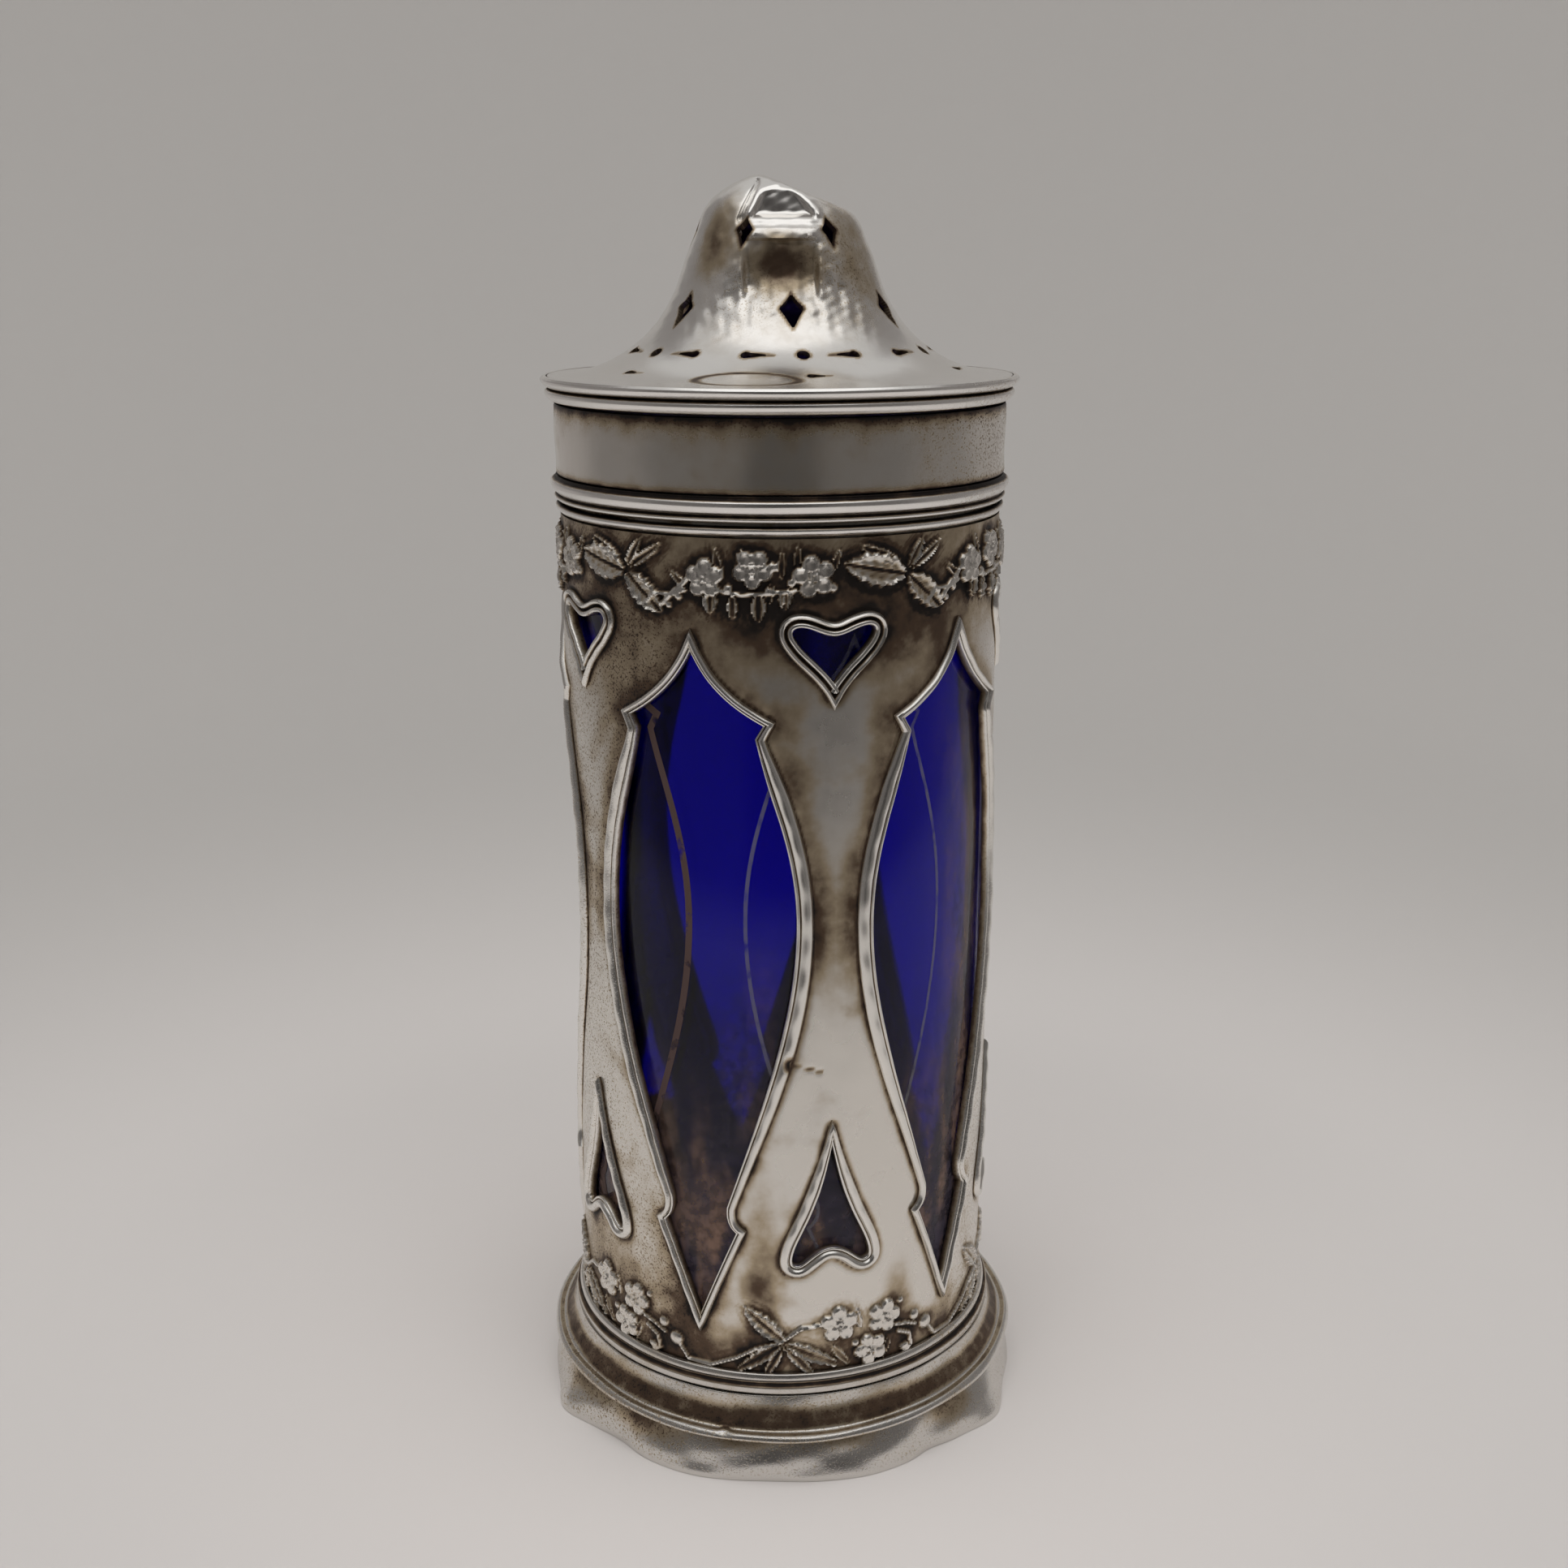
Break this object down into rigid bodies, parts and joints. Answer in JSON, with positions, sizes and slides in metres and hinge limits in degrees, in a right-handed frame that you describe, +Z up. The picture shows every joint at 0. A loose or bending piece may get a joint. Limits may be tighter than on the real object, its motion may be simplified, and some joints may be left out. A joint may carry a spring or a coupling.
{
  "type": "sugar caster",
  "caption": "Pierced silver sugar caster: a cylindrical openwork sleeve on a spreading foot, a lift-out blue glass liner and a push-fit pierced cap.",
  "frame": {"origin": "middle of the foot's rim, on the surface that the caster stands on", "axes": "+Z up along the caster's axis; -Y towards the side with the knocks in the dome"},
  "size_m": [0.0584, 0.0584, 0.1457],
  "materials": {
    "silver_foot": "worn, tarnished silver",
    "silver_sleeve": "chased silver with dark grounds",
    "silver_cap": "polished silver",
    "silver_dome": "polished silver with knocks",
    "blue_glass": "cobalt blue glass"
  },
  "bodies": {
    "body": {"foot": "silver_foot", "foot_wire": "silver_foot", "foot_moulding": "silver_sleeve", "sleeve": "silver_sleeve", "sleeve_top_wire": "silver_cap", "liner_ledge": "silver_foot"},
    "liner": {"glass_liner": "blue_glass"},
    "cap": {"cap_collar": "silver_cap", "cap_wire": "silver_cap", "cap_band": "silver_cap", "cap_rim": "silver_cap", "cap_dome": "silver_dome"}
  },
  "joints": [
    {"name": "liner_lift", "type": "slide", "parent": "body", "child": "liner", "axis": [0, 0, 1], "range_m": [0, 0.102]},
    {"name": "cap_lift", "type": "slide", "parent": "liner", "child": "cap", "axis": [0, 0, 1], "range_m": [0, 0.03]}
  ]
}
